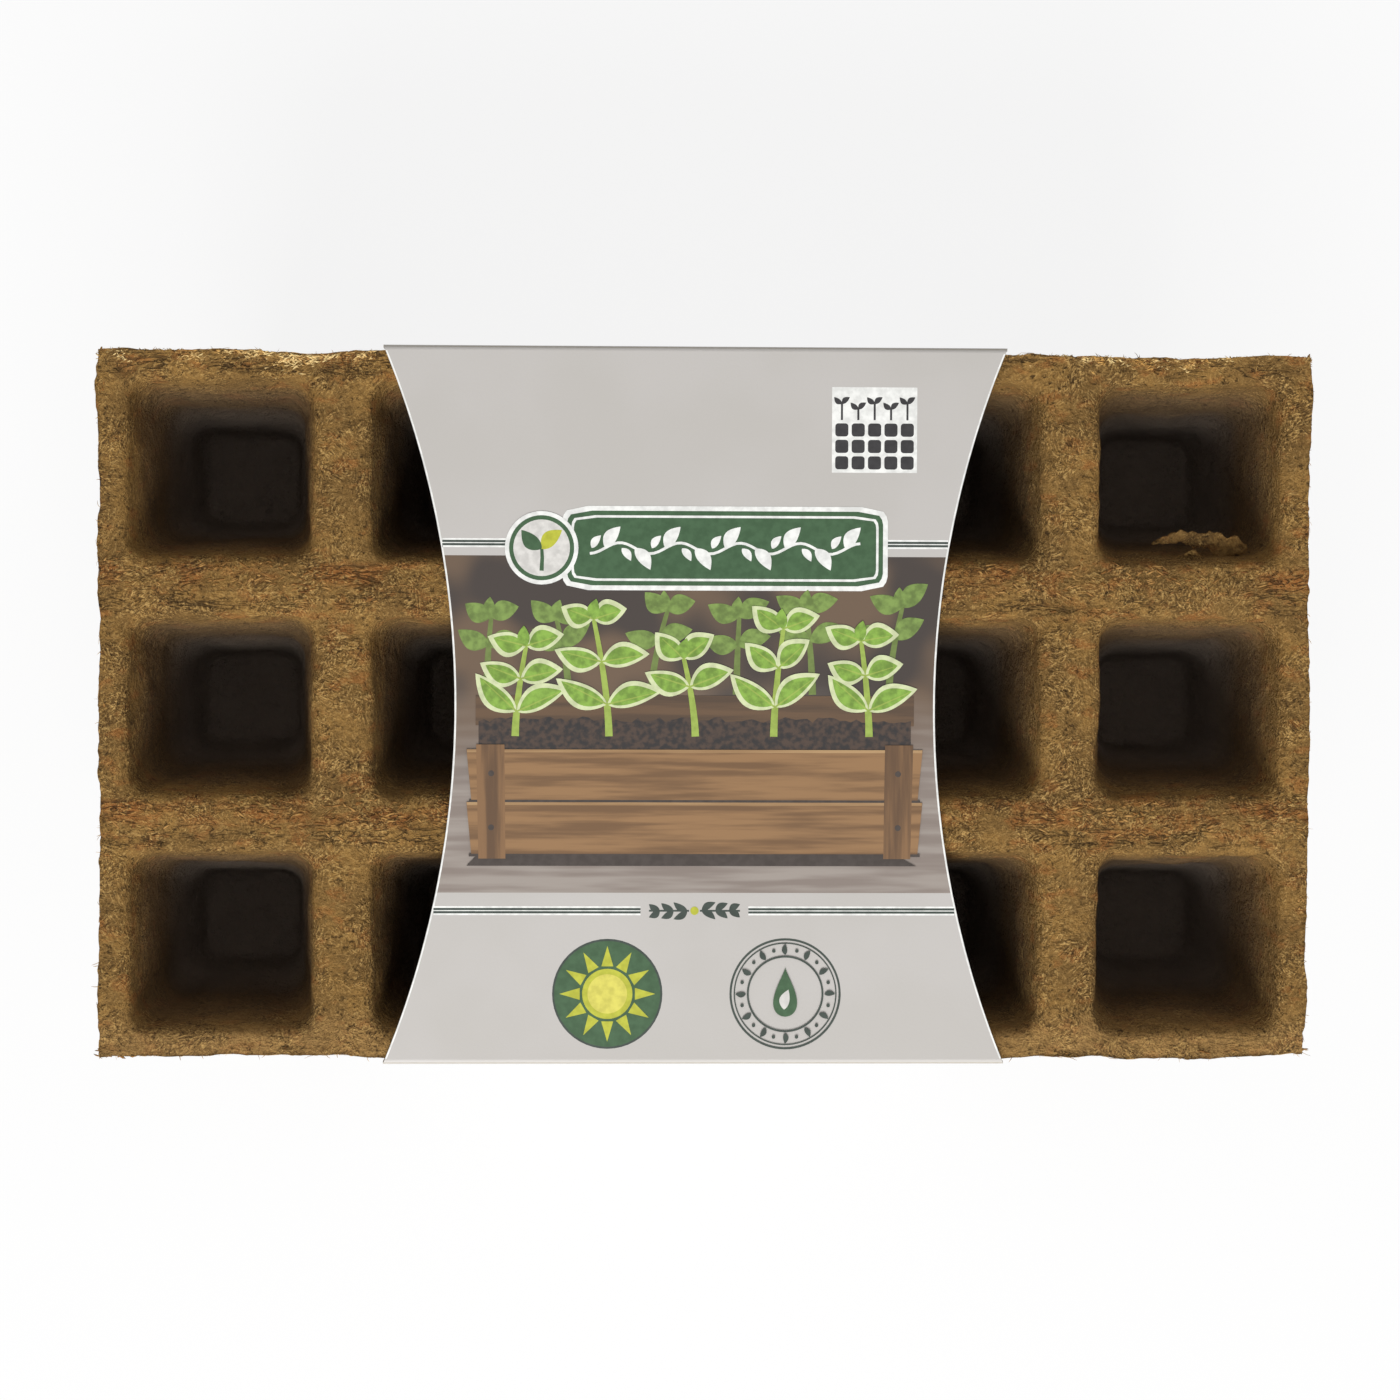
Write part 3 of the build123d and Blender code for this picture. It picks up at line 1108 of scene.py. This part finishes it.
def torn_strip(line, half_widths, thickness, tilt, seed):
    """A closed flat strip along a line, with ragged sides and a ridged upper face."""
    along = np.linspace(0, len(line) - 1, 120)
    spine = np.column_stack([np.interp(along, range(len(line)), line[:, axis]) for axis in range(3)])
    width = np.interp(along, range(len(half_widths)), half_widths)
    tilted = np.array([0, math.cos(tilt), math.sin(tilt)])
    over = np.array([0, -math.sin(tilt), math.cos(tilt)])
    count = 32
    angles = np.arange(count) / count * 2 * math.pi
    rings = []
    for at, centre in enumerate(spine):
        sides = np.array([[centre[0], 3.0 * side, 0.0] for side in (-1, 1)])
        ragged = 1 + 0.3 * noise(sides, 1.8, seed) + 0.28 * noise(sides, 0.6, seed + 1)
        reach = np.where(np.cos(angles) < 0, ragged[0], ragged[1]) * np.cos(angles) * width[at]
        girth = np.sign(np.sin(angles)) * abs(np.sin(angles)) ** 0.7 * min(thickness, width[at] * 0.6)
        rings.append(centre + reach[:, None] * tilted + girth[:, None] * over)
    points = np.concatenate(rings)
    ridges = 0.3 * noise(points * (0.4, 1.5, 1), 0.9, seed + 2) + 0.22 * noise(points, 0.45, seed + 3)
    ridges += 0.25 * noise(points * (1, 0.5, 0), 2.6, seed + 4)
    return points + ridges[:, None] * over, tube_faces(len(spine), count)


def scrap():
    """A torn piece of pulp that clings to the near wall of one pot, with a smaller one below."""
    pot = np.array([2 * PITCH_X, PITCH_Y, RIM_TOP])
    strip = [(-5.4, -11.7, -7.4), (-3.4, -11.2, -6.9), (-0.8, -10.7, -6.6), (2.2, -11.2, -6.7)]
    strip += [(4.2, -11.4, -6.7), (6.6, -12.0, -6.4), (8.8, -12.2, -6.6), (10.8, -12.4, -7.2)]
    strip_widths = [0.2, 0.8, 1.2, 1.3, 1.5, 1.9, 2.0, 0.8]
    lump = [(-1.7, -14.4, -5.6), (0.2, -14.2, -5.2), (1.6, -14.0, -5.0), (3.4, -14.6, -5.8)]
    pieces = (
        (strip, strip_widths, 0.42, 0.5, 5),
        (lump, [0.2, 1.1, 1.3, 0.3], 0.5, 0.3, 15),
    )
    return [torn_strip(np.array(line) + pot, *rest) for line, *rest in pieces]


# The room: a pale floor, soft light, and the camera where the photograph was taken. In metres.

FLOOR_SIZE = 1.6
FLOOR_GLOW = 0.85
SKY_STRENGTH = 0.47
KEY_PLACE, KEY_AIM, KEY_SIZE, KEY_POWER = (-0.15, -1.3, 1.3), (0, 0, 0.08), 1.2, 32.0

# The camera's place from the middle of the top rims, in millimetres, and its turn in degrees.
CAMERA_OVER_RIM = (-15.9, 14.8, 506.1)
CAMERA_TURN = (-1.56, -1.66, 0.21)
FOCAL_PIXELS, PHOTO_PIXELS = 3037, 1400


def make_floor():
    """A pale matte floor that the camera sees lit up to nearly white."""
    half = FLOOR_SIZE / 2
    corners = [(-half, -half, 0), (half, -half, 0), (half, half, 0), (-half, half, 0)]
    n = Paint("floor", (0.86, 0.86, 0.86, 1))
    n.finish(0.9)
    seen = n.add("LightPath").outputs["Is Camera Ray"]
    n.show("Emission", 1.0, n.times(seen, FLOOR_GLOW), "Material Output")
    make_mesh("floor", np.array(corners) / MM, [(0, 1, 2, 3)], [n.owner], smooth=False)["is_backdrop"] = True


def make_world():
    """Soft light from all round, in front of a white ground."""
    bpy.context.scene.world = bpy.data.worlds.new("studio")
    n = Nodes(bpy.context.scene.world, "Background")
    n.feed(n.shader.inputs["Color"], WHITE)
    n.feed(n.shader.inputs["Strength"], SKY_STRENGTH)
    rays = n.add("LightPath").outputs
    seen = n.math("MAXIMUM", rays["Is Camera Ray"], rays["Is Glossy Ray"])
    n.show("Background", 1.0, seen, "World Output")


def make_key():
    light = bpy.data.lights.new("key", "AREA")
    light.size = KEY_SIZE
    light.energy = KEY_POWER
    lamp = placed("key", light)
    lamp.location = KEY_PLACE
    lamp.rotation_euler = (Vector(KEY_AIM) - Vector(KEY_PLACE)).to_track_quat("-Z", "Y").to_euler()


def make_camera():
    """Above the pack, where the photograph's vanishing points put it."""
    data = bpy.data.cameras.new("camera")
    data.lens = data.sensor_width * FOCAL_PIXELS / PHOTO_PIXELS
    camera = placed("camera", data)
    camera.location = np.array(CAMERA_OVER_RIM) * MM + (0, 0, RIM_TOP * MM)
    camera.rotation_euler = np.radians(CAMERA_TURN)
    bpy.context.scene.camera = camera


bpy.context.scene.view_settings.view_transform = "Standard"
make_floor()
make_world()
make_camera()
make_key()

# The top tray and the scrap get a copy of the pulp with painted shade and light down the pots; the lower
# trays get the plain pulp.
shaded_top_pulp, pulp = pulp_material("pulp_top", True), pulp_material("pulp", False)
trays = [make_tray(number, shaded_top_pulp if number == 1 else pulp) for number in range(1, 7)]

fibre = straw_material("fibre", (156, 118, 64), (208, 168, 104))
# The chips on the +Y edge: torn chips of pulp, whose pale colour is painted light, where the backlit edge
# shows bright.
straw = straw_material("straw", (204, 156, 86), (246, 216, 152))
chip = straw_material("chip", (138, 96, 48), (180, 138, 80))
top_tree = tree_of(trays[0])
scatter("rim_fibres", fibre, 3600, 11, rim_fibres, top_tree)
scatter("far_edge_flakes", straw, 2400, 77, far_edge_flakes)
scatter("web_flakes", chip, 900, 91, web_flakes, top_tree)
loose_piece("scrap", scrap(), shaded_top_pulp)
for number in range(1, 7):
    fibre_count, flake_count = (300, 520) if number == 1 else (140, 260)
    scatter(f"edge_fibres_{number}", fibre, fibre_count, 20 + number, edge_fibres, number)
    scatter(f"edge_flakes_{number}", chip, flake_count, 40 + number, edge_flakes, number)

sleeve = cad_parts["sleeve"]
sleeve.data.materials.clear()
sleeve.data.materials.append(board_material())
MOTIFS = (print_cut_edges, print_rules, print_picture, print_banner, print_icon, print_badges, print_sprig)
for motif in MOTIFS:
    sheet = Print(motif.__name__)
    motif(sheet)
    sheet.piece()

boxes = {"cad": cad_box, "shown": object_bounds()}
{name: [list(corner) for corner in box] for name, box in boxes.items()}
